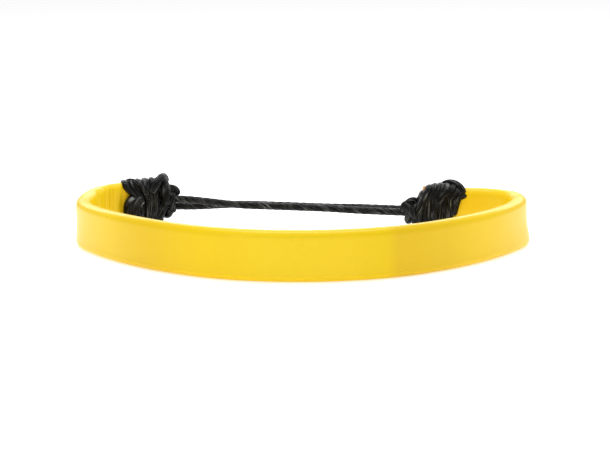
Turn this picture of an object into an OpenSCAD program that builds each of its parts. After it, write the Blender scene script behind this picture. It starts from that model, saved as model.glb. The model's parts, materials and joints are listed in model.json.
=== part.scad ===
/* [Strap] */
// Height of the strap, which stands on its long edge
strap_height = 7; // [6:0.5:10]
// Thickness of the strap
strap_thickness = 2.2; // [1.8:0.1:2.6]
// Radius of the front of the oval, at the strap's middle line
front_radius = 27; // [25:0.1:30]
// Angle of the front curve on each side of its middle
front_sweep = 37.5; // [35:0.5:40]
// Radius of the flat curve at each side of the front
side_radius = 45.4; // [40:0.1:55]
// Angle of each of those flat curves
side_sweep = 29.5; // [27:0.5:32]
// Angle of the left flat curve up to the point where the strap flexes
left_flex_sweep = 8; // [6:0.5:20]
// Angle of the right flat curve up to the point where the strap flexes
right_flex_sweep = 16; // [6:0.5:20]

/* [Left end] */
// Radius of the wide bend at the left
left_bend_radius = 14.2; // [13:0.1:16]
// Angle of the wide bend at the left
left_bend_sweep = 47; // [44:0.5:50]
// Radius of the tight bend before the left binding
left_turn_radius = 6.3; // [6:0.1:8]
// Angle of the tight bend before the left binding
left_turn_sweep = 48; // [45:0.5:51]

/* [Right end] */
// Radius of the bend at the right
right_bend_radius = 6.2; // [6:0.1:7]
// Angle of the bend at the right
right_bend_sweep = 86; // [83:0.5:89]
// Radius of the tight bend before the right binding
right_turn_radius = 8.3; // [7:0.1:9]
// Angle of the tight bend before the right binding
right_turn_sweep = 26; // [23:0.5:29]

/* [Bindings] */
// Number of turns in each binding
binding_turns = 6; // [5:1:7]
// Distance between two turns
turn_pitch = 1; // [0.9:0.05:1.2]
// How far the turns stand out from the bound strap
binding_thickness = 1; // [0.8:0.1:1.1]
// Radius of the knot that ends the left binding
binding_knot_radius = 1.3; // [1:0.1:1.6]

/* [Cords] */
// Diameter of the cord
cord_diameter = 1.1; // [0.9:0.1:1.1]
// Distance between the middles of the two cords, which lie level side by side
cord_spacing = 1.2; // [1.2:0.05:1.4]
// Height of the cords' middle above the strap's lower edge
cord_height = 3.6; // [3.5:0.1:4.5]
// Space between the binding's end and the knuckle that starts each cord
cord_end_gap = 0.1; // [0.1:0.05:0.3]

/* [Sliding knots] */
// Radius of the left sliding knot
left_knot_radius = 2; // [1.8:0.1:2.2]
// Length of the left sliding knot along the cords
left_knot_length = 2.2; // [1.8:0.1:2.6]
// Radius of the right sliding knot
right_knot_radius = 1.8; // [1.8:0.1:2.2]
// Length of the right sliding knot along the cords
right_knot_length = 2.4; // [1.8:0.1:2.6]
// Distance from the start of a cord to the sliding knot on it
knot_offset = 0.7; // [0.7:0.1:2]

/* [Hidden] */
$fn = 64;
// Degrees of an arc that one flat of the strap spans
arc_step = 4;
// Radius of the round knuckle at each flex joint
knuckle_radius = 0.95;
// Gap between the knuckle and its socket
flex_clearance = 0.1;
// Distance from the flex point back to the front's shoulder
shoulder_gap = 0.8;
// Distance from the flex point on to the bent end's first edge
socket_gap = 0.2;
// Radial gap between a cord and the sliding knot on it
bore_clearance = 0.06;
// Radius of a sliding knot's ends, as a share of its radius
knot_end_share = 0.8;
// Length over which a sliding knot narrows at each end
knot_taper = 0.6;
// Radius of the upright knuckle that starts each cord
cord_knuckle_radius = 0.6;
// Height of that knuckle
cord_knuckle_height = 1.3;
// Thickness that the binding presses out of the strap
bound_squeeze = 0.3;
// How far the bound strap's top edge sits below the strap's
bound_top_drop = 0.15;
// Full strap left between the last bend and the binding
lead_length = 0.5;
// Share of a turn's pitch that its ridge fills
ridge_share = 0.75;
// Thickness of the sleeve under the ridges, as a share of the turns' thickness
sleeve_share = 0.6;
// Flat cut along the edges of the bound strap and of the binding
bound_chamfer = 0.4;
// Extra length that makes a cut pass right through
cut = 1;

half_thickness = strap_thickness / 2;
cord_radius = cord_diameter / 2;
binding_length = binding_turns * turn_pitch;
bound_half = (strap_thickness - bound_squeeze) / 2;
bound_bottom = binding_thickness;
bound_top = strap_height - bound_top_drop;
bound_outer = bound_half + binding_thickness;
middle_height = strap_height / 2;

// Plan curves: each arc turns left from a point and a heading
function arc_centre(point, heading, radius) = point + radius * [-sin(heading), cos(heading)];
function arc_end(point, heading, radius, sweep) =
    arc_centre(point, heading, radius) + radius * [sin(heading + sweep), -cos(heading + sweep)];
function along(heading) = [cos(heading), sin(heading)];
function outward(heading) = [sin(heading), -cos(heading)];
function mirrored(point) = [-point[0], point[1]];
function arc_degrees(length, radius) = length / radius * 180 / PI;

// A station is a point of the strap's middle line and the heading there
function arc_stations(point, heading, radius, sweep) =
    let (flats = ceil(sweep / arc_step))
        [for (i = [0 : flats])
            let (turned = sweep * i / flats)
                [arc_end(point, heading, radius, turned), heading + turned]];
function beside(station, distance) = station[0] + distance * outward(station[1]);
function mirrored_station(station) = [mirrored(station[0]), -station[1]];
function reversed(list) = [for (i = [len(list) - 1 : -1 : 0]) list[i]];
function after_first(list) = [for (i = [1 : len(list) - 1]) list[i]];

// The front half of the plan is the same on both sides
side_start = arc_end([0, 0], 0, front_radius, front_sweep);
function flex_place(flex_sweep) = arc_end(side_start, front_sweep, side_radius, flex_sweep);
function half_stations(flex_sweep) = concat(
    arc_stations([0, 0], 0, front_radius, front_sweep),
    after_first(arc_stations(side_start, front_sweep, side_radius,
        flex_sweep - arc_degrees(shoulder_gap, side_radius)))
);
bend_heading = front_sweep + side_sweep;
bend_start = arc_end(side_start, front_sweep, side_radius, side_sweep);

// Right end of the strap
right_turn_heading = bend_heading + right_bend_sweep;
right_turn_start = arc_end(bend_start, bend_heading, right_bend_radius, right_bend_sweep);
right_end_heading = right_turn_heading + right_turn_sweep;
right_end_start = arc_end(right_turn_start, right_turn_heading, right_turn_radius, right_turn_sweep);
right_tip = right_end_start + (lead_length + binding_length) * along(right_end_heading);

// Left end of the strap, as its mirror image
left_turn_heading = bend_heading + left_bend_sweep;
left_turn_start = arc_end(bend_start, bend_heading, left_bend_radius, left_bend_sweep);
left_end_heading = left_turn_heading + left_turn_sweep;
left_end_start = arc_end(left_turn_start, left_turn_heading, left_turn_radius, left_turn_sweep);
left_tip = left_end_start + (lead_length + binding_length) * along(left_end_heading);

// Points at which the cords leave the bindings and turn
cord_exit = cord_knuckle_radius + cord_end_gap;
right_cord_start = right_tip + cord_exit * along(right_end_heading)
    + cord_spacing / 2 * outward(right_end_heading);
left_cord_start = mirrored(left_tip + cord_exit * along(left_end_heading)
    - cord_spacing / 2 * outward(left_end_heading));

// The cords run side by side, the right cord behind the left one
start_to_start = right_cord_start - left_cord_start;
start_distance = norm(start_to_start);
cord_angle = atan2(start_to_start[1], start_to_start[0]) - asin(cord_spacing / start_distance);
cord_span = sqrt(start_distance * start_distance - cord_spacing * cord_spacing);
cord_length = cord_span - knot_offset;

// The origin lies under the middle of the object's box
function side_reach(radius) =
    arc_centre(bend_start, bend_heading, radius)[0] + radius + half_thickness;
right_reach = side_reach(right_bend_radius);
left_reach = side_reach(left_bend_radius);
binding_reach = left_tip[1] + bound_outer * outward(left_end_heading)[1];
knot_reach = left_cord_start[1] + (knot_offset + knot_taper) * sin(cord_angle)
    + (cord_spacing / 2 + left_knot_radius) * cos(cord_angle);
middle_x = (right_reach - left_reach) / 2;
middle_y = (max(binding_reach, knot_reach) - half_thickness) / 2;

// Moves a shape from the front of the strap's plan into the object's frame
module framed() {
    translate([-middle_x, -middle_y, 0]) children();
}

// Section standing on its short side, with its four edges cut flat
module upright_section(half, bottom, top, chamfer) {
    polygon([
        [-half + chamfer, bottom], [half - chamfer, bottom],
        [half, bottom + chamfer], [half, top - chamfer],
        [half - chamfer, top], [-half + chamfer, top],
        [-half, top - chamfer], [-half, bottom + chamfer]
    ]);
}

// Sweeps a section along a straight piece of the plan
module straight_sweep(point, heading, length) {
    translate([point[0], point[1], 0])
        rotate(heading)
            rotate([90, 0, 90])
                linear_extrude(height = length)
                    children();
}

// Strap of full height along a list of stations
module strap_along(stations) {
    outer = [for (station = stations) beside(station, half_thickness)];
    inner = [for (station = stations) beside(station, -half_thickness)];
    linear_extrude(height = strap_height) polygon(concat(outer, reversed(inner)));
}

// Upright cylinder on a flex joint's axis
module flex_cylinder(point, radius, bottom, top) {
    translate([point[0], point[1], bottom]) cylinder(r = radius, h = top - bottom);
}

// Bent end of the strap, from the flex joint to its tip inside the binding
module strap_end(flex_sweep, bend_radius, bend_sweep, turn_radius, turn_sweep) {
    flex_heading = front_sweep + flex_sweep;
    flex_point = flex_place(flex_sweep);
    skipped = arc_degrees(socket_gap, side_radius);
    socket_point = arc_end(flex_point, flex_heading, side_radius, skipped);
    turn_start = arc_end(bend_start, bend_heading, bend_radius, bend_sweep);
    turn_heading = bend_heading + bend_sweep;
    end_heading = turn_heading + turn_sweep;
    end_start = arc_end(turn_start, turn_heading, turn_radius, turn_sweep);
    side_arc = arc_stations(socket_point, flex_heading + skipped, side_radius,
        side_sweep - flex_sweep - skipped);
    bend_arc = arc_stations(bend_start, bend_heading, bend_radius, bend_sweep);
    turn_arc = arc_stations(turn_start, turn_heading, turn_radius, turn_sweep);
    lead = [end_start + lead_length * along(end_heading), end_heading];
    difference() {
        strap_along(concat(side_arc, after_first(bend_arc), after_first(turn_arc), [lead]));
        flex_cylinder(flex_point, knuckle_radius + flex_clearance, -cut, strap_height + cut);
    }
    straight_sweep(end_start, end_heading, lead_length + binding_length)
        upright_section(bound_half, bound_bottom, bound_top, bound_chamfer);
}

// Ring of one width round the bound strap
module binding_ring(thickness) {
    difference() {
        upright_section(bound_half + thickness, bound_bottom - thickness, bound_top + thickness,
            bound_chamfer + thickness / 2);
        upright_section(bound_half, bound_bottom, bound_top, bound_chamfer);
    }
}

// Turns of cord side by side on a thin sleeve
module binding(tip, heading) {
    start = tip - binding_length * along(heading);
    ridge = ridge_share * turn_pitch;
    straight_sweep(start, heading, binding_length) binding_ring(sleeve_share * binding_thickness);
    for (turn = [0 : binding_turns - 1]) {
        place = start + (turn * turn_pitch + (turn_pitch - ridge) / 2) * along(heading);
        straight_sweep(place, heading, ridge) binding_ring(binding_thickness);
    }
}

// Moves a shape drawn along +X to the start of the left cord, with +Y across the pair
module on_left_cord(distance, across) {
    translate([left_cord_start[0], left_cord_start[1], cord_height])
        rotate(cord_angle)
            translate([distance, across, 0])
                children();
}

// Straight cord with an upright knuckle at the origin, where it bends
module cord() {
    rotate([0, 90, 0]) cylinder(r = cord_radius, h = cord_length);
    translate([0, 0, -cord_knuckle_height / 2]) cylinder(r = cord_knuckle_radius, h = cord_knuckle_height);
}

// Barrel about both cords, with a running bore for one and a tight hole for the other
module sliding_knot(radius, length, left_bore, right_bore) {
    difference() {
        rotate([0, 90, 0])
            rotate_extrude()
                polygon([
                    [0, 0], [knot_end_share * radius, 0], [radius, knot_taper],
                    [radius, length - knot_taper], [knot_end_share * radius, length], [0, length]
                ]);
        translate([-cut, -cord_spacing / 2, 0])
            rotate([0, 90, 0]) cylinder(r = left_bore, h = length + 2 * cut);
        translate([-cut, cord_spacing / 2, 0])
            rotate([0, 90, 0]) cylinder(r = right_bore, h = length + 2 * cut);
    }
}

module strap_front() {
    color("gold") framed() {
        strap_along(concat(
            [for (station = reversed(half_stations(left_flex_sweep))) mirrored_station(station)],
            after_first(half_stations(right_flex_sweep))
        ));
        flex_cylinder(mirrored(flex_place(left_flex_sweep)), knuckle_radius, 0, strap_height);
        flex_cylinder(flex_place(right_flex_sweep), knuckle_radius, 0, strap_height);
    }
}

module strap_left_end() {
    color("gold") framed() mirror([1, 0, 0])
        strap_end(left_flex_sweep, left_bend_radius, left_bend_sweep,
            left_turn_radius, left_turn_sweep);
}

module strap_right_end() {
    color("gold") framed()
        strap_end(right_flex_sweep, right_bend_radius, right_bend_sweep,
            right_turn_radius, right_turn_sweep);
}

module left_binding() {
    color("#242424") framed() mirror([1, 0, 0]) binding(left_tip, left_end_heading);
}

module right_binding() {
    color("#242424") framed() binding(right_tip, right_end_heading);
}

// Half ball on the strap's inner face, just before the left binding
module left_binding_knot() {
    back = binding_knot_radius - lead_length + cord_end_gap;
    place = left_end_start - back * along(left_end_heading) - half_thickness * outward(left_end_heading);
    color("#303030") framed() mirror([1, 0, 0])
        translate([place[0], place[1], middle_height])
            rotate(left_end_heading)
                intersection() {
                    sphere(r = binding_knot_radius);
                    translate([-binding_knot_radius, 0, -binding_knot_radius])
                        cube(2 * binding_knot_radius);
                }
}

module left_cord() {
    color("#1c1c1c") framed() on_left_cord(0, 0) cord();
}

module right_cord() {
    color("#1c1c1c") framed() on_left_cord(cord_span, cord_spacing) rotate(180) cord();
}

module left_sliding_knot() {
    color("#2c2c2c") framed() on_left_cord(knot_offset, cord_spacing / 2)
        sliding_knot(left_knot_radius, left_knot_length, cord_radius + bore_clearance, cord_radius);
}

module right_sliding_knot() {
    color("#2c2c2c") framed() on_left_cord(cord_span - knot_offset - right_knot_length, cord_spacing / 2)
        sliding_knot(right_knot_radius, right_knot_length, cord_radius, cord_radius + bore_clearance);
}

strap_front();
strap_left_end();
strap_right_end();
left_binding();
right_binding();
left_binding_knot();
left_cord();
right_cord();
left_sliding_knot();
right_sliding_knot();
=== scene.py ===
import json
import math

import bpy
import numpy as np
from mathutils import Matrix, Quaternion, Vector


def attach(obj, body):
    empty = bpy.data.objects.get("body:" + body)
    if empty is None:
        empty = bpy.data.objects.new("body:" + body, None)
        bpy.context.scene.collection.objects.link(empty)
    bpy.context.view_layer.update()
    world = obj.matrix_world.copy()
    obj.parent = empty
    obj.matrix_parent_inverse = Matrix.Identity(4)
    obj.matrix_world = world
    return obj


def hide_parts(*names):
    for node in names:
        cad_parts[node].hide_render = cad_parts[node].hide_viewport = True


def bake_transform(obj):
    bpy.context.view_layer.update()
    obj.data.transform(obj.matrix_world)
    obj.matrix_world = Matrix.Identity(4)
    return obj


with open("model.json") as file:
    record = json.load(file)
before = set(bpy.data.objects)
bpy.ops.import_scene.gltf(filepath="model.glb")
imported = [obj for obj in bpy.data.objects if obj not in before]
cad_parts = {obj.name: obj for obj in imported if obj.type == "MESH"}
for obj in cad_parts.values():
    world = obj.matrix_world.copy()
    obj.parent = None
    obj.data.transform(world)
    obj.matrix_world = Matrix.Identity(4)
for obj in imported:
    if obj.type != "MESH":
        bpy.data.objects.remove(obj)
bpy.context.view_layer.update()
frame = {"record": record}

MM = 0.001

# ---- the plan of the strap, as in the CAD, in millimetres ----
STRAP_HEIGHT = 7.0
STRAP_THICKNESS = 2.2
FRONT_ARC = (27.0, 37.5)
SIDE_ARC = (45.4, 29.5)
LEFT_ARCS = (FRONT_ARC, SIDE_ARC, (14.2, 47.0), (6.3, 48.0))
RIGHT_ARCS = (FRONT_ARC, SIDE_ARC, (6.2, 86.0), (8.3, 26.0))
LEAD_LENGTH = 0.5
BINDING_LENGTH = 6.0
CORD_DIAMETER = 1.1
CORD_HEIGHT = 3.6
MIDDLE_HEIGHT = STRAP_HEIGHT / 2

front_mount = frame["record"]["mounts"][0]["pos_m"]
ORIGIN = np.array([front_mount[0], front_mount[1]]) / MM
JOINTS = {joint["name"]: joint for joint in frame["record"]["behaviour"]["joints"]}


def joint_point(name):
    return np.array(JOINTS[name]["pos_m"][:2]) / MM


# ---- camera ----
AIM = np.array([0.02, 18.9])
CAMERA_DISTANCE = 291.7
CAMERA_ELEVATION = math.radians(10.1)
CAMERA_LENS = 123.6
CAMERA_ROLL = math.radians(-0.4)


def make_camera():
    aim = np.array([ORIGIN[0] + AIM[0], ORIGIN[1] + AIM[1], MIDDLE_HEIGHT])
    offset = np.array([0.0, -math.cos(CAMERA_ELEVATION), math.sin(CAMERA_ELEVATION)])
    place = aim + CAMERA_DISTANCE * offset
    data = bpy.data.cameras.new("camera")
    data.lens = CAMERA_LENS
    data.sensor_width = 36.0
    data.clip_start = 0.01
    data.clip_end = 10.0
    camera = bpy.data.objects.new("camera", data)
    camera.location = Vector(place * MM)
    facing = Vector((aim - place) * MM).to_track_quat("-Z", "Y")
    camera.rotation_euler = (facing @ Quaternion((0.0, 0.0, 1.0), CAMERA_ROLL)).to_euler()
    bpy.context.collection.objects.link(camera)
    bpy.context.scene.camera = camera


make_camera()


# ---- plan curves ----
def half_plan(arcs, straight, step=0.1):
    """Points of the strap's middle line, from the middle of the front to the end of a straight run."""
    points = [np.array([0.0, 0.0])]
    heading = 0.0
    for radius, sweep in arcs:
        count = max(2, int(math.radians(sweep) * radius / step))
        turn = math.radians(sweep) / count
        for _ in range(count):
            chord = 2 * radius * math.sin(turn / 2)
            middle = heading + turn / 2
            points.append(points[-1] + chord * np.array([math.cos(middle), math.sin(middle)]))
            heading += turn
    for _ in range(int(straight / step)):
        points.append(points[-1] + step * np.array([math.cos(heading), math.sin(heading)]))
    return np.array(points)


def smoothed(points, sigma, step=0.1):
    """Gaussian smoothing along the line; both ends are carried on straight first."""
    reach = int(3 * sigma / step)
    kernel = np.exp(-0.5 * (np.arange(-reach, reach + 1) * step / sigma) ** 2)
    kernel /= kernel.sum()
    head = points[0] - np.arange(reach, 0, -1)[:, None] * (points[1] - points[0])
    tail = points[-1] + np.arange(1, reach + 1)[:, None] * (points[-1] - points[-2])
    padded = np.vstack([head, points, tail])
    return np.stack([np.convolve(column, kernel, mode="valid") for column in padded.T], 1)


def run_lengths(points):
    """Distance along the line at each of its points."""
    return np.concatenate([[0], np.cumsum(np.linalg.norm(np.diff(points, axis=0), axis=1))])


def resampled(points, count):
    """Evenly spaced points of the line, and the distance along it at each."""
    lengths = run_lengths(points)
    wanted = np.linspace(0, lengths[-1], count)
    return np.stack([np.interp(wanted, lengths, column) for column in points.T], 1), wanted


def even(points, spacing):
    return resampled(points, max(4, int(run_lengths(points)[-1] / spacing)))[0]


def tangents(points):
    direction = np.gradient(points, axis=0)
    return direction / np.linalg.norm(direction, axis=1)[:, None]


def smoothstep(value):
    value = np.clip(value, 0, 1)
    return value * value * (3 - 2 * value)


def hump(value, centre, width):
    return np.exp(-0.5 * ((value - centre) / width) ** 2)


# ---- mesh helpers ----
def mesh_object(name, vertices, faces, uv=None):
    """A smooth-shaded object from millimetre vertices, with a UV map named lay."""
    mesh = bpy.data.meshes.new(name)
    mesh.from_pydata([tuple(v) for v in np.asarray(vertices) * MM], [], faces)
    if uv is not None:
        layer = mesh.uv_layers.new(name="lay")
        loops = np.zeros(len(mesh.loops), dtype=np.int64)
        mesh.loops.foreach_get("vertex_index", loops)
        layer.data.foreach_set("uv", np.asarray(uv, dtype=np.float32)[loops].ravel())
    mesh.polygons.foreach_set("use_smooth", [True] * len(mesh.polygons))
    mesh.update()
    made = bpy.data.objects.new(name, mesh)
    bpy.context.collection.objects.link(made)
    return made


def tube_faces(rings, sides, closed_start=True):
    """Faces between rings of vertices, closed at the end and, where asked, at the start."""
    faces = []
    for ring in range(rings - 1):
        for side in range(sides):
            after = (side + 1) % sides
            faces.append((ring * sides + side, ring * sides + after,
                          (ring + 1) * sides + after, (ring + 1) * sides + side))
    if closed_start:
        faces.append(tuple(range(sides - 1, -1, -1)))
    faces.append(tuple((rings - 1) * sides + side for side in range(sides)))
    return faces


def frames_along(points):
    """Tangent and two directions across a line, carried along it without twist."""
    along = tangents(points)
    first = np.cross(np.cross(along[0], (0.0, 0.0, 1.0)), along[0])
    if np.linalg.norm(first) < 1e-6:
        first = np.cross(np.cross(along[0], (0.0, 1.0, 0.0)), along[0])
    across = [first / np.linalg.norm(first)]
    for index in range(1, len(points)):
        carried = across[-1] - along[index] * np.dot(across[-1], along[index])
        across.append(carried / np.linalg.norm(carried))
    across = np.array(across)
    return along, across, np.cross(along, across)


CORD_SIDES = 24
PLIES = 4
LAY_LENGTH = 4.8
SMALLEST_END = 0.12


def twisted_tube(points, diameter, phase, end_taper, ply_depth=0.12, twist=1.0):
    """Vertices, faces and UVs of a laid cord along a line; twist is its share of the full lay."""
    lengths = run_lengths(points)
    along, up, side = frames_along(points)
    angles = np.linspace(0, 2 * math.pi, CORD_SIDES, endpoint=False)
    vertices, uv = [], []
    for index, point in enumerate(points):
        turned = angles - phase - twist * 2 * math.pi * lengths[index] / LAY_LENGTH
        lobes = np.abs(np.cos(PLIES * turned / 2))
        radius = diameter / 2 * (1 - ply_depth * (1 - lobes) ** 2)
        share = min(1.0, min(lengths[index], lengths[-1] - lengths[index]) / end_taper)
        radius = radius * max(SMALLEST_END, math.sqrt(1 - (1 - share) ** 2))
        upward = (np.cos(angles) * radius)[:, None] * up[index]
        sideways = (np.sin(angles) * radius)[:, None] * side[index]
        vertices.append(point + upward + sideways)
        uv.append(np.stack([np.full(CORD_SIDES, lengths[index]), np.sin(turned)], 1))
    return np.vstack(vertices), tube_faces(len(points), CORD_SIDES), np.vstack(uv)


def joined(parts):
    """One set of vertices, faces and UVs from several."""
    vertices, faces, uv, start = [], [], [], 0
    for part_vertices, part_faces, part_uv in parts:
        vertices.append(part_vertices)
        uv.append(part_uv)
        faces.extend(tuple(index + start for index in face) for face in part_faces)
        start += len(part_vertices)
    return np.vstack(vertices), faces, np.vstack(uv)


# ---- materials ----
def new_material(name):
    """An empty node material with its shader connected."""
    material = bpy.data.materials.new(name)
    material.use_nodes = True
    tree = material.node_tree
    tree.nodes.clear()
    output = tree.nodes.new("ShaderNodeOutputMaterial")
    shader = tree.nodes.new("ShaderNodeBsdfPrincipled")
    tree.links.new(shader.outputs[0], output.inputs[0])
    return material, tree, shader


def object_place(tree):
    return tree.nodes.new("ShaderNodeTexCoord").outputs["Object"]


def lay_map(tree):
    """The pieces' UV map, in millimetres along and around."""
    made = tree.nodes.new("ShaderNodeUVMap")
    made.uv_map = "lay"
    return made.outputs[0]


def grey(value):
    return (value, value, value)


def ramp(tree, source, stops):
    made = tree.nodes.new("ShaderNodeValToRGB")
    while len(made.color_ramp.elements) < len(stops):
        made.color_ramp.elements.new(0.5)
    for element, (position, colour) in zip(made.color_ramp.elements, stops):
        element.position = position
        element.color = (*colour, 1.0)
    tree.links.new(source, made.inputs[0])
    return made.outputs[0]


def noise(tree, vector, scale, detail=3.0, roughness=0.5):
    made = tree.nodes.new("ShaderNodeTexNoise")
    made.inputs["Scale"].default_value = scale
    made.inputs["Detail"].default_value = detail
    made.inputs["Roughness"].default_value = roughness
    tree.links.new(vector, made.inputs["Vector"])
    return made.outputs[0]


def mapped(tree, source, scale):
    made = tree.nodes.new("ShaderNodeMapping")
    made.inputs["Scale"].default_value = scale
    tree.links.new(source, made.inputs["Vector"])
    return made.outputs[0]


def mixed(tree, factor, first, second):
    """Two colours mixed, each of the three a value or another node's output."""
    made = tree.nodes.new("ShaderNodeMix")
    made.data_type = "RGBA"
    for socket, value in ((made.inputs[0], factor), (made.inputs[6], first), (made.inputs[7], second)):
        if isinstance(value, bpy.types.NodeSocket):
            tree.links.new(value, socket)
        elif isinstance(value, tuple):
            socket.default_value = (*value, 1.0)
        else:
            socket.default_value = value
    return made.outputs[2]


def bumped(tree, height, strength, distance, normal=None):
    made = tree.nodes.new("ShaderNodeBump")
    made.inputs["Strength"].default_value = strength
    made.inputs["Distance"].default_value = distance
    tree.links.new(height, made.inputs["Height"])
    if normal is not None:
        tree.links.new(normal, made.inputs["Normal"])
    return made.outputs[0]


# Painted light and shade in the leather's colour: lighter upright bands where reflections fall and darker
# ones where the strap turns from the lamps, by distance from the middle of the front, left to right
PAINTED_BAND_REACH = 40.0
PAINTED_LIGHT_BANDS = ((-38.0, (0.86, 0.60, 0.012)), (-24.0, (0.75, 0.49, 0.008)), (-12.5, (0.86, 0.585, 0.004)),
         (-5.0, (0.85, 0.62, 0.014)), (5.0, (0.86, 0.62, 0.014)), (10.6, (0.80, 0.57, 0.002)),
         (12.2, (0.71, 0.46, 0.012)), (20.0, (0.72, 0.47, 0.012)), (28.0, (0.88, 0.60, 0.012)))


def painted_light_bands(tree, lay):
    """Painted light and shade: lighter and darker bands in the leather's colour along the strap."""
    split = tree.nodes.new("ShaderNodeSeparateXYZ")
    tree.links.new(lay, split.inputs[0])
    place = tree.nodes.new("ShaderNodeMapRange")
    place.inputs["From Min"].default_value = -PAINTED_BAND_REACH
    place.inputs["From Max"].default_value = PAINTED_BAND_REACH
    tree.links.new(split.outputs[0], place.inputs[0])
    stops = [((u + PAINTED_BAND_REACH) / (2 * PAINTED_BAND_REACH), band_colour) for u, band_colour in PAINTED_LIGHT_BANDS]
    return ramp(tree, place.outputs[0], stops)


def leather_material():
    """Smooth dyed leather: painted light and shade bands, soft colour drift and mottle, with fine grain
    under a thin coat.
    """
    material, tree, shader = new_material("yellow_leather")
    lay = lay_map(tree)
    soft = noise(tree, mapped(tree, lay, (0.075, 0.02, 1.0)), 1.0, 1.5)
    mottle = noise(tree, mapped(tree, lay, (1.1, 1.1, 1.0)), 1.0, 4.0, 0.6)
    grain = noise(tree, mapped(tree, lay, (3.2, 3.2, 1.0)), 1.0, 3.0, 0.55)
    pores = tree.nodes.new("ShaderNodeTexVoronoi")
    pores.feature = "DISTANCE_TO_EDGE"
    pores.inputs["Scale"].default_value = 3.4
    tree.links.new(lay, pores.inputs["Vector"])
    drift = ramp(tree, soft, [(0.3, (0.78, 0.51, 0.007)), (0.7, (0.86, 0.62, 0.011))])
    # The painted light and shade bands, mixed with the soft colour drift
    base = mixed(tree, 0.35, painted_light_bands(tree, lay), drift)
    worn = ramp(tree, mottle, [(0.35, grey(0.0)), (0.8, grey(0.22))])
    tree.links.new(mixed(tree, worn, base, (0.80, 0.50, 0.008)), shader.inputs["Base Color"])
    gloss = ramp(tree, mottle, [(0.3, grey(0.27)), (0.7, grey(0.36))])
    tree.links.new(gloss, shader.inputs["Roughness"])
    shader.inputs["Specular IOR Level"].default_value = 0.14
    shader.inputs["Coat Weight"].default_value = 0.08
    shader.inputs["Coat Roughness"].default_value = 0.16
    coarse = bumped(tree, pores.outputs["Distance"], 0.10, 0.00005)
    tree.links.new(bumped(tree, grain, 0.14, 0.00004, coarse), shader.inputs["Normal"])
    return material


def raw_leather_material():
    """Undyed leather, as it shows where the strap was cut."""
    material, tree, shader = new_material("raw_leather")
    fibre = noise(tree, mapped(tree, object_place(tree), (2500.0, 2500.0, 900.0)), 1.0, 4.0, 0.65)
    colour = ramp(tree, fibre, [(0.3, (0.72, 0.44, 0.22)), (0.7, (0.90, 0.66, 0.42))])
    tree.links.new(colour, shader.inputs["Base Color"])
    shader.inputs["Roughness"].default_value = 0.85
    tree.links.new(bumped(tree, fibre, 0.4, 0.0001), shader.inputs["Normal"])
    return material


def cord_material():
    """Black waxed cord: near-black fibres with thin pale streaks among them, which are painted highlights
    of the cord's sheen.
    """
    material, tree, shader = new_material("waxed_cord")
    place = object_place(tree)
    fibres = noise(tree, mapped(tree, lay_map(tree), (0.35, 9.0, 1.0)), 1.0, 2.0, 0.5)
    fuzz = noise(tree, mapped(tree, place, (3200.0, 3200.0, 3200.0)), 1.0, 3.0, 0.6)
    patches = noise(tree, mapped(tree, place, (500.0, 500.0, 500.0)), 1.0, 2.0, 0.5)
    # Painted highlights: the pale streaks in the cord's colour stand in for the sheen along its fibres
    painted_streak_highlights = ramp(tree, fibres, [(0.40, (0.0015, 0.0015, 0.0015)), (0.55, (0.003, 0.0035, 0.0035)),
                                 (0.60, (0.06, 0.065, 0.065)), (0.66, (0.18, 0.19, 0.19))])
    waxed = ramp(tree, patches, [(0.42, grey(0.0)), (0.62, grey(0.8))])
    colour = mixed(tree, waxed, painted_streak_highlights, (0.002, 0.0022, 0.0024))
    tree.links.new(colour, shader.inputs["Base Color"])
    gloss = ramp(tree, fuzz, [(0.3, grey(0.22)), (0.7, grey(0.40))])
    tree.links.new(gloss, shader.inputs["Roughness"])
    shader.inputs["Specular IOR Level"].default_value = 0.12
    strands = bumped(tree, fibres, 0.6, 0.00012)
    tree.links.new(bumped(tree, fuzz, 0.25, 0.00006, strands), shader.inputs["Normal"])
    return material


LEATHER = leather_material()
RAW_LEATHER = raw_leather_material()
CORD = cord_material()


# ---- strap ----
EDGE_RADIUS = 0.95
SECTION_CORNER_POINTS = 8
SECTION_SIDE_POINTS = 18
STRAP_STEP = 0.2


def rounded_section(half, bottom, top, radius):
    """Closed outline of a rounded upright section, across and up, with its outer side first."""
    radius = min(radius, half - 0.02, (top - bottom) / 2 - 0.02)
    corners = [(half - radius, bottom + radius, -90), (half - radius, top - radius, 0),
               (-half + radius, top - radius, 90), (-half + radius, bottom + radius, 180)]
    outline = []
    for number, (centre_across, centre_up, start) in enumerate(corners):
        for point in range(SECTION_CORNER_POINTS + 1):
            angle = math.radians(start + 90 * point / SECTION_CORNER_POINTS)
            outline.append((centre_across + radius * math.cos(angle),
                            centre_up + radius * math.sin(angle)))
        if number % 2 == 0:
            across, low = outline[-1]
            high = corners[number + 1][1]
            for point in range(1, SECTION_SIDE_POINTS):
                outline.append((across, low + (high - low) * point / SECTION_SIDE_POINTS))
    return np.array(outline)


# Middle line of the bindings' turns: half breadth and lowest height
TURN_HALF = 1.38
TURN_BOTTOM = 0.66


def left_profile(x):
    """Middle line of the left binding's turns at x: half breadth, bottom and top."""
    taper = smoothstep((x + 1.6) / 2.0)
    crown = 0.2 * hump(x, -2.6, 1.6)
    return TURN_HALF - 0.2 * taper, TURN_BOTTOM + 0.5 * taper, 7.25 + crown - 0.6 * taper


def right_profile(x):
    """Middle line of the right binding's turns at x; it narrows towards the cords."""
    taper = smoothstep((x + 0.9) / 3.6)
    crown = 0.45 * hump(x, -2.6, 2.0) - 0.65 * smoothstep((-4.0 - x) / 2.0)
    return TURN_HALF - 0.45 * taper, TURN_BOTTOM + 1.3 * taper, 7.0 + crown - 2.9 * taper


# Height of the strap's top edge at the front; it rises a little towards the bindings
STRAP_TOP = 6.85
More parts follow.
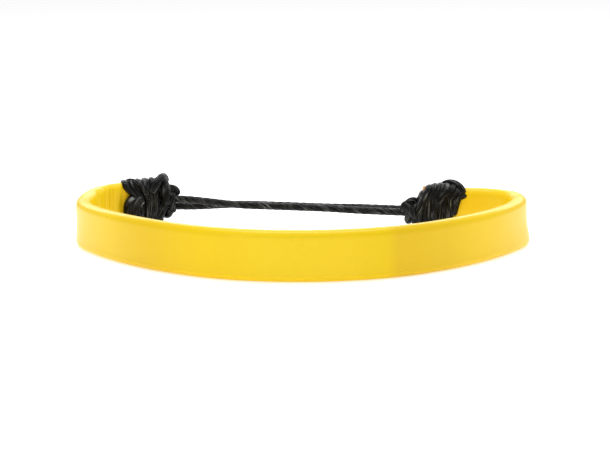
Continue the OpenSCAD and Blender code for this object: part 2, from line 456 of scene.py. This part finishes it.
# The bound strap lies this far inside the turns' middle line: at the sides, the bottom and the top
BOUND_SIDE = 0.47
BOUND_BOTTOM = 0.62
BOUND_TOP = 0.77
# Where each side starts to narrow, from the binding's end, and how fast; where the strap ends
LEFT_BOUND_FROM = -5.0
RIGHT_BOUND_FROM = -4.6
NARROWING = 0.9
TIP_SHORT = 1.9
# How far along the strap each of its slow changes reaches
PLAN_SMOOTHING = 1.3
LEAN_REACH = 7.0
LIFT_REACH = 13.0
CREASE_REACH = 6.0


def strap_section(profile, from_end, bound_from):
    """The strap's section, and how far it has narrowed into the binding, from 0 to 1."""
    bound = smoothstep((from_end - bound_from) / NARROWING)
    turn_half, turn_bottom, turn_top = profile(min(0.0, from_end))
    half = STRAP_THICKNESS / 2 * (1 - bound) + (turn_half - BOUND_SIDE) * bound
    bottom = (turn_bottom + BOUND_BOTTOM) * bound
    top = STRAP_TOP * (1 - bound) + (turn_top - BOUND_TOP) * bound
    return rounded_section(half, bottom, top, EDGE_RADIUS - 0.1 * bound), bound


def make_creases(centre, deepest):
    """Upright creases about one place: station, depth, width, and the levels each runs between."""
    generator = np.random.default_rng(21)
    creases, place = [], centre - CREASE_REACH
    while place < centre + CREASE_REACH:
        place += generator.uniform(0.9, 2.7)
        depth = deepest * generator.uniform(0.4, 1.0) * hump(place, centre, CREASE_REACH / 1.6)
        creases.append((place, depth, generator.uniform(0.16, 0.34), generator.uniform(-1.6, -0.6),
                        generator.uniform(0.9, 1.6)))
    return creases


def crease_depth(creases, station, level):
    """How deep the creases are at one station, over its levels."""
    total = np.zeros(len(level))
    for place, depth, width, low, high in creases:
        fold = depth * hump(station, place + 0.25 * math.sin(place * 3) * level, width)
        total += fold * smoothstep((level - low) / 0.5) * smoothstep((high - level) / 0.5)
    return total


def hand_wave(station):
    """Slight unevenness of a hand-bent strap."""
    return 0.021 * math.sin(station * 0.42 + 0.7) + 0.012 * math.sin(station * 0.97 + 2.1)


def strap_half(name, arcs, side, profile, bound_from, lift, lean, lean_centre, crease_centre, deepest):
    """One half of the strap from the middle of the front to its tip inside the binding."""
    plan = smoothed(half_plan(arcs, LEAD_LENGTH + BINDING_LENGTH - TIP_SHORT), PLAN_SMOOTHING)
    plan = plan - plan[0]
    total = run_lengths(plan)[-1]
    points, stations = resampled(plan, int(total / STRAP_STEP))
    direction = tangents(points)
    direction[0] = (1.0, 0.0)
    outward = np.stack([direction[:, 1], -direction[:, 0]], 1)
    end_station = total + TIP_SHORT
    lift_from = end_station - BINDING_LENGTH - LIFT_REACH
    creases = make_creases(crease_centre, deepest)
    vertices, uv = [], []
    for index, station in enumerate(stations):
        section, bound = strap_section(profile, station - end_station, bound_from)
        across, up = section[:, 0].copy(), section[:, 1]
        level = (up - MIDDLE_HEIGHT) / MIDDLE_HEIGHT
        across += lean(level) * hump(station, lean_centre, LEAN_REACH) * (1 - bound)
        across += hand_wave(station) * (1 - bound) * np.clip(level, -1, 1)
        inner = np.clip(-across / STRAP_THICKNESS * 2, 0, 1)
        across += crease_depth(creases, station, level) * inner * (1 - bound)
        ring = np.zeros((len(section), 3))
        ring[:, :2] = points[index] + across[:, None] * outward[index]
        ring[:, 2] = up + lift(station - lift_from) * np.clip(up / STRAP_HEIGHT, 0, 1)
        vertices.append(ring)
        uv.append(np.stack([np.full(len(section), side * station), run_lengths(section)], 1))
    faces = tube_faces(len(stations), len(vertices[0]), closed_start=False)
    vertices = np.vstack(vertices)
    vertices[:, 0] *= side
    vertices[:, :2] += ORIGIN
    if side < 0:
        faces = [tuple(reversed(face)) for face in faces]
    made = mesh_object(name, vertices, faces, np.vstack(uv))
    made.data.materials.append(LEATHER)
    return made


def arc_station(arcs, count, share):
    """Distance from the middle of the front to a share of the way along one of the arcs."""
    whole = sum(radius * math.radians(sweep) for radius, sweep in arcs[:count])
    radius, sweep = arcs[count]
    return whole + radius * math.radians(sweep) * share


def blend_strap(piece):
    """Bakes the piece's placement into its mesh; the strap is not flexed here."""
    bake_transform(piece)


def left_lift(station):
    """How far the top edge rises towards the left binding, after a dip at the far left."""
    return 0.5 * smoothstep(station / 12.0) - 0.25 * hump(station, -4.0, 7.0)


def right_lift(station):
    return 0.3 * smoothstep((station + 6.0) / 12.0)


def left_lean(level):
    """How far each level of the strap stands out at the far left, from -1 at the bottom to 1."""
    return 0.08 + 0.22 * np.clip(-level, 0, 1) ** 1.5 + 0.08 * np.clip(level, 0, 1) ** 2


def right_lean(level):
    return 0.10 - 0.55 * smoothstep((level + 1.0) / 1.2)


left_strap = strap_half("strap_left_half", LEFT_ARCS, -1, left_profile, LEFT_BOUND_FROM, left_lift,
                        left_lean, arc_station(LEFT_ARCS, 2, 0.55), arc_station(LEFT_ARCS, 3, 0.35), 0.40)
right_strap = strap_half("strap_right_half", RIGHT_ARCS, 1, right_profile, RIGHT_BOUND_FROM, right_lift,
                         right_lean, arc_station(RIGHT_ARCS, 2, 0.5), arc_station(RIGHT_ARCS, 2, 0.6), 0.03)
blend_strap(left_strap)
blend_strap(right_strap)
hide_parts("strap_front", "strap_left_end")
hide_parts("strap_front", "strap_right_end")


# ---- placing things on an arm's end ----
class EndFrame:
    """Axes at a binding's end nearest the cord: x along the strap, y inward, z up."""

    def __init__(self, arcs, side):
        plan = half_plan(arcs, LEAD_LENGTH + BINDING_LENGTH)
        heading = math.radians(sum(sweep for _, sweep in arcs))
        self.tip = plan[-1] * (side, 1) + ORIGIN
        self.along = np.array([side * math.cos(heading), math.sin(heading)])
        self.inward = np.array([-side * math.sin(heading), math.cos(heading)])

    def place(self, points):
        points = np.asarray(points, dtype=float)
        flat = self.tip + points[:, :1] * self.along + points[:, 1:2] * self.inward
        return np.hstack([flat, points[:, 2:3]])


LEFT_END = EndFrame(LEFT_ARCS, -1)
RIGHT_END = EndFrame(RIGHT_ARCS, 1)


# ---- bindings ----
TURN_POINTS = 96
CORNER_POWER = 0.62
WOBBLE = 0.05
WIND_DIAMETER = 0.98
UNDER_DIAMETER = 1.15
UNDER_PLY_DEPTH = 0.10
WIND_TWIST = 0.12
WIND_TAPER = 0.5
# Distance between the rings of a winding, of the layer under it, and of a strand across it
WIND_STEP = 0.16
UNDER_STEP = 0.2
STRAND_STEP = 0.14


def squared(value):
    """A sine or cosine, changed so that a turn goes round a rounded rectangle and not a circle."""
    return math.copysign(abs(value) ** CORNER_POWER, value)


def binding_path(profile, winding, wobble, seed):
    """A cord wound round a rounded upright section, in an end frame, leaning where it crosses the top."""
    turns, first, last, lean_first, lean_last, lean_from = winding
    offsets = np.random.default_rng(seed).normal(0, wobble, turns + 2)
    points = []
    for step in range(turns * TURN_POINTS + 1):
        share = step / (turns * TURN_POINTS)
        turn, within = divmod(step, TURN_POINTS)
        within = within / TURN_POINTS
        angle = 2 * math.pi * within
        rise = squared(math.sin(angle))
        lean = lean_first + share * (lean_last - lean_first)
        x = first + share * (last - first) + lean * smoothstep((rise - lean_from) / (1 - lean_from))
        drift = offsets[turn] * (1 - within) + offsets[turn + 1] * within
        half, bottom, top = profile(x)
        points.append((x + drift, half * squared(math.cos(angle)) * (1 + drift),
                       (bottom + top) / 2 + (top - bottom) / 2 * rise))
    return np.array(points)


def narrowed(values):
    """The inner layer's middle line, from the outer turns'."""
    half, bottom, top = values
    return half - 0.3, bottom + 0.3, top - 0.16


def smooth_line(controls, count=60):
    """A smooth line through control points (Catmull-Rom)."""
    controls = np.asarray(controls, dtype=float)
    padded = np.vstack([2 * controls[0] - controls[1], controls, 2 * controls[-1] - controls[-2]])
    points = []
    per = max(4, count // (len(controls) - 1))
    for index in range(len(controls) - 1):
        p0, p1, p2, p3 = padded[index:index + 4]
        for step in range(per):
            t = step / per
            points.append(0.5 * (2 * p1 + (p2 - p0) * t + (2 * p0 - 5 * p1 + 4 * p2 - p3) * t * t
                                 + (3 * p1 - p0 - 3 * p2 + p3) * t ** 3))
    points.append(controls[-1])
    return np.array(points)


def cord_object(name, shape, body, replaced):
    """A piece of cord that moves with a body and stands for the CAD nodes it replaces."""
    piece = mesh_object(name, *shape)
    piece.data.materials.append(CORD)
    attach(piece, body)
    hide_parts(*replaced)
    return piece


def wound(name, end, profile, winding, body, replaced, seed, strands):
    """A binding: its turns over an inner layer that fills their grooves, with strands across them."""
    turns, first, last, *leans = winding
    shift = (last - first) / turns / 2
    under = (turns, first + shift, last + shift - 0.3, *leans)
    path = even(end.place(binding_path(profile, winding, WOBBLE, seed)), WIND_STEP)
    parts = [twisted_tube(path, WIND_DIAMETER, seed, WIND_TAPER, twist=WIND_TWIST)]
    inner_turns = binding_path(lambda x: narrowed(profile(x)), under, 0.0, seed)
    path = even(end.place(inner_turns), UNDER_STEP)
    parts.append(twisted_tube(path, UNDER_DIAMETER, seed, WIND_TAPER, UNDER_PLY_DEPTH, WIND_TWIST))
    for number, (controls, diameter) in enumerate(strands, 1):
        line = even(end.place(smooth_line(controls)), STRAND_STEP)
        parts.append(twisted_tube(line, diameter, seed + number, WIND_TAPER, twist=2 * WIND_TWIST))
    cord_object(name, joined(parts), body, replaced)


# Number of turns, first and last place, first and last lean, and the rise from which they lean
LEFT_WINDING = (5, -4.8, -1.4, -2.1, -0.1, 0.15)
RIGHT_WINDING = (8, -4.2, 1.5, -1.8, -0.5, 0.4)
# Strands that cross the turns: points in the end frame, and the diameter
LEFT_STRANDS = [
    ([(-5.0, 1.3, 1.0), (-6.0, 1.75, 1.9), (-6.4, 1.85, 3.2), (-6.2, 1.8, 4.3), (-5.4, 1.6, 5.2)], 1.7),
    ([(-4.8, 1.5, 0.8), (-5.3, 2.1, 2.2), (-5.4, 2.2, 3.6), (-4.9, 2.0, 4.6), (-4.2, 1.7, 5.0)], 1.5),
    ([(-6.3, -1.1, 6.9), (-5.6, 0.2, 7.45), (-4.4, 1.2, 6.9), (-3.6, 1.75, 5.4)], 1.0),
    ([(-2.9, 1.6, 5.6), (-2.2, 1.5, 6.9), (-1.3, 0.9, 7.7), (-0.5, -0.1, 7.8), (0.0, -0.9, 7.0)], 1.3),
    ([(-2.3, -1.3, 6.0), (-1.4, -0.4, 7.2), (-0.6, 0.7, 7.0), (-0.4, 1.4, 5.4), (-0.7, 1.5, 3.8)], 1.3),
    ([(-1.6, -0.9, 1.4), (-1.2, -0.7, 3.0), (-1.0, -0.5, 5.0), (-1.3, -0.8, 6.5)], 1.3),
    ([(-1.6, 0.4, 1.3), (-1.1, 0.4, 3.0), (-0.9, 0.3, 5.0), (-1.2, 0.3, 6.8)], 1.3),
    ([(-1.8, 1.6, 1.8), (-1.2, 1.4, 3.0), (-0.6, 1.0, 4.4), (-0.6, 0.0, 5.6)], 1.2),
]
RIGHT_STRANDS = [
    ([(-5.6, 1.2, 6.3), (-5.0, 0.6, 7.3), (-4.0, 0.0, 7.8), (-2.9, -0.7, 7.6), (-2.5, -1.3, 6.6)], 1.1),
    ([(-1.6, 1.7, 2.0), (-1.3, 1.85, 4.0), (-2.2, 1.6, 5.9), (-3.4, 0.7, 7.5)], 1.0),
    ([(-4.0, 1.35, 3.2), (-4.4, 1.45, 4.8), (-4.9, 1.3, 6.0), (-5.7, 0.8, 6.6)], 1.0),
    ([(1.4, 0.9, 2.0), (0.9, 1.35, 4.0), (0.1, 1.2, 6.0), (-0.7, 0.4, 7.3)], 1.0),
]
wound("left_binding_turns", LEFT_END, left_profile, LEFT_WINDING, "left_arm",
      ["left_binding", "left_binding_knot"], 3, LEFT_STRANDS)
wound("right_binding_turns", RIGHT_END, right_profile, RIGHT_WINDING, "right_arm",
      ["right_binding"], 5, RIGHT_STRANDS)


def grid_edge(columns, rows):
    """Indices round the edge of a grid of vertices, in order."""
    edge = list(range(rows))
    edge += [column * rows + rows - 1 for column in range(1, columns)]
    edge += [(columns - 1) * rows + row for row in range(rows - 2, -1, -1)]
    edge += [column * rows for column in range(columns - 2, 0, -1)]
    return edge


def leather_tip(name, end, centre, size, body):
    """The cut corner of the strap that shows between the turns: a small torn wedge of raw leather."""
    generator = np.random.default_rng(9)
    columns, rows = 7, 9
    vertices, faces = [], []
    for face_side in (-1, 1):
        for column in range(columns):
            for row in range(rows):
                u, v = column / (columns - 1) - 0.5, row / (rows - 1) - 0.5
                rough = generator.normal(0, 0.035, 3)
                swell = math.sqrt(max(0.0, 1 - (2 * u) ** 2)) * 0.5 + 0.5
                vertices.append((centre[0] + size[0] * u * (1 - 0.45 * v) + rough[0],
                                 centre[1] + face_side * size[1] / 2 * swell + rough[1],
                                 centre[2] + size[2] * v + rough[2]))
    layer = columns * rows
    for column in range(columns - 1):
        for row in range(rows - 1):
            first = column * rows + row
            quad = (first, first + rows, first + rows + 1, first + 1)
            faces.append(quad)
            faces.append(tuple(layer + index for index in reversed(quad)))
    edge = grid_edge(columns, rows)
    for first, second in zip(edge, edge[1:] + edge[:1]):
        faces.append((first, second, layer + second, layer + first))
    piece = mesh_object(name, end.place(vertices), faces)
    piece.data.materials.append(RAW_LEATHER)
    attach(piece, body)


leather_tip("right_strap_corner", RIGHT_END, (0.1, 0.1, 6.9), (0.7, 0.5, 1.0), "right_arm")


# ---- cords ----
# Distance between the cords' middles, as in the CAD, and half of it in the visual model
CORD_SPACING = 1.2
PAIR_HALF = 0.58
CORD_STEP = 0.16
CORD_TAPER = 0.25
CORD_PLY_DEPTH = 0.13
left_start = joint_point("left_cord_bend")
between = joint_point("right_cord_bend") - left_start
start_distance = np.linalg.norm(between)
cord_angle = math.atan2(between[1], between[0]) - math.asin(CORD_SPACING / start_distance)
CORD_SPAN = math.sqrt(start_distance ** 2 - CORD_SPACING ** 2)
CORD_ALONG = np.array([math.cos(cord_angle), math.sin(cord_angle)])
CORD_ACROSS = np.array([-math.sin(cord_angle), math.cos(cord_angle)])


def pair_point(distance, across, up):
    """A point by its distance along the left cord, its place across the pair, and its height."""
    flat = left_start + distance * CORD_ALONG + across * CORD_ACROSS
    return (flat[0], flat[1], up)


def cord_line(side, first, last):
    """A cord of the pair: the two lie side by side, and spread upright near the left sliding knot."""
    controls = []
    for share in np.linspace(first, last, 25) / CORD_SPAN:
        middle = CORD_HEIGHT + 0.33 - 0.27 * share + 0.06 * math.sin(math.pi * share)
        apart = 0.64 * (1 - smoothstep((share - 0.02) / 0.3)) - 0.13 * smoothstep((share - 0.6) / 0.2)
        across = CORD_SPACING / 2 - side * PAIR_HALF
        controls.append(pair_point(share * CORD_SPAN, across, middle + side * apart))
    return smooth_line(controls, 240)


def cord_piece(name, line, body, node_name, phase):
    """One cord, with its whole length; both its ends go into the object."""
    line = even(line, CORD_STEP)
    shape = twisted_tube(line, CORD_DIAMETER, phase, CORD_TAPER, CORD_PLY_DEPTH)
    piece = cord_object(name, shape, body, [node_name])


cord_piece("left_cord_run", cord_line(1, -1.6, CORD_SPAN - 0.3), "left_cord_pair", "left_cord", 0.4)
cord_piece("right_cord_run", cord_line(-1, CORD_SPAN + 1.6, -1.2), "right_cord_pair", "right_cord", 2.0)


# ---- sliding knots ----
KNOT_TURN_POINTS = 64
KNOT_DIAMETER = 1.1


def knot_coil(from_left, coil, seed):
    """The turns of a sliding knot round the pair of cords."""
    start, turns, pitch, radius_across, radius_up, height = coil
    points = []
    for step in range(int(turns * KNOT_TURN_POINTS) + 1):
        turned = step / KNOT_TURN_POINTS
        angle = 2 * math.pi * turned + 0.6
        distance = start + pitch * turned
        place = distance if from_left else CORD_SPAN - distance
        wander = 0.05 * math.sin(3 * angle + seed)
        across = CORD_SPACING / 2 + (radius_across + wander) * math.cos(angle)
        points.append(pair_point(place + wander, across, height + (radius_up + wander) * math.sin(angle)))
    return np.array(points)


def knot_piece(name, from_left, coil, body, node_name, seed, tails):
    """Turns of cord round the pair, with the tails tucked back as lobes."""
    generator = np.random.default_rng(seed)
    height = coil[-1]
    lines = [(knot_coil(from_left, coil, seed), KNOT_DIAMETER)]
    for controls, diameter in tails:
        lobe = [pair_point(x if from_left else CORD_SPAN - x, CORD_SPACING / 2 + y, height + z)
                for x, y, z in smooth_line(controls)]
        lines.append((np.array(lobe), diameter))
    parts = [twisted_tube(even(line, STRAND_STEP), diameter, generator.uniform(0, 6), WIND_TAPER)
             for line, diameter in lines]
    cord_object(name, joined(parts), body, [node_name])


# Start along the pair, turns, pitch, radius across and upright, and height of the middle
LEFT_COIL = (-2.2, 2.6, 0.9, 1.1, 1.4, 3.95)
RIGHT_COIL = (0.2, 2.3, 0.9, 1.05, 1.15, 3.45)
# Tails: points by distance from the coil's side of the pair, across and up, and the diameter
LEFT_KNOT_TAILS = [
    ([(-2.1, -0.6, 1.0), (-1.5, -1.0, 1.9), (-0.7, -0.5, 2.2), (0.0, 0.3, 1.9), (0.4, 0.9, 1.0)], 1.2),
    ([(-2.1, 0.9, -1.0), (-1.5, 0.1, -1.8), (-0.7, -0.8, -1.7), (-0.1, -1.2, -0.8)], 1.1),
    ([(-2.2, -0.9, -0.9), (-1.4, -1.5, -0.1), (-0.5, -1.4, 0.8)], 1.1),
]
RIGHT_KNOT_TAILS = [
    ([(0.0, -1.0, -0.9), (0.7, -1.5, 0.1), (1.6, -1.2, 1.0), (2.3, -0.4, 1.5)], 1.1),
    ([(0.3, 0.7, 1.5), (1.1, -0.2, 1.8), (1.9, -0.9, 1.2), (2.4, -1.1, 0.2)], 1.1),
]
knot_piece("left_sliding_knot_turns", True, LEFT_COIL, "right_cord_pair", "left_sliding_knot", 11,
           LEFT_KNOT_TAILS)
knot_piece("right_sliding_knot_turns", False, RIGHT_COIL, "left_cord_pair", "right_sliding_knot", 12,
           RIGHT_KNOT_TAILS)


# ---- stage ----
FLOOR_HALF = 3.0
FLOOR_GAP = 0.00002


def make_stage():
    """A white floor a hair below the strap."""
    mesh = bpy.data.meshes.new("floor")
    corners = [(FLOOR_HALF * x, FLOOR_HALF * y, 0) for x, y in ((-1, -1), (1, -1), (1, 1), (-1, 1))]
    mesh.from_pydata(corners, [], [(0, 1, 2, 3)])
    floor = bpy.data.objects.new("floor", mesh)
    floor.location = (0, 0, -FLOOR_GAP)
    bpy.context.collection.objects.link(floor)
    material, tree, shader = new_material("floor")
    shade = ramp(tree, noise(tree, object_place(tree), 3.0, 2.0), [(0.0, grey(0.93)), (1.0, grey(0.95))])
    tree.links.new(shade, shader.inputs["Base Color"])
    shader.inputs["Roughness"].default_value = 0.9
    shader.inputs["Specular IOR Level"].default_value = 0.1
    shader.inputs["Emission Color"].default_value = (1.0, 1.0, 1.0, 1.0)
    shader.inputs["Emission Strength"].default_value = 0.43
    mesh.materials.append(material)


def area_light(name, place, target, size, power):
    data = bpy.data.lights.new(name, "AREA")
    data.shape = "RECTANGLE"
    data.size, data.size_y = size
    data.energy = power
    light = bpy.data.objects.new(name, data)
    light.location = place
    light.rotation_euler = (Vector(target) - Vector(place)).to_track_quat("-Z", "Y").to_euler()
    bpy.context.collection.objects.link(light)


def make_light():
    world = bpy.data.worlds.new("studio")
    world.use_nodes = True
    background = world.node_tree.nodes["Background"]
    background.inputs[0].default_value = (1.0, 1.0, 1.0, 1.0)
    background.inputs[1].default_value = 0.51
    bpy.context.scene.world = world
    area_light("above", (0.0, 0.03, 0.32), (0, 0, 0), (0.30, 0.11), 0.88)
    area_light("front_left", (-0.25, -0.30, 0.14), (0, 0, 0.003), (0.16, 0.16), 0.10)
    area_light("front_right", (0.30, -0.26, 0.12), (0, 0, 0.003), (0.10, 0.18), 0.02)
    area_light("behind", (0.02, 0.30, 0.15), (0, 0, 0.003), (0.50, 0.08), 0.55)
    bpy.context.scene.view_settings.view_transform = "Standard"


make_stage()
make_light()
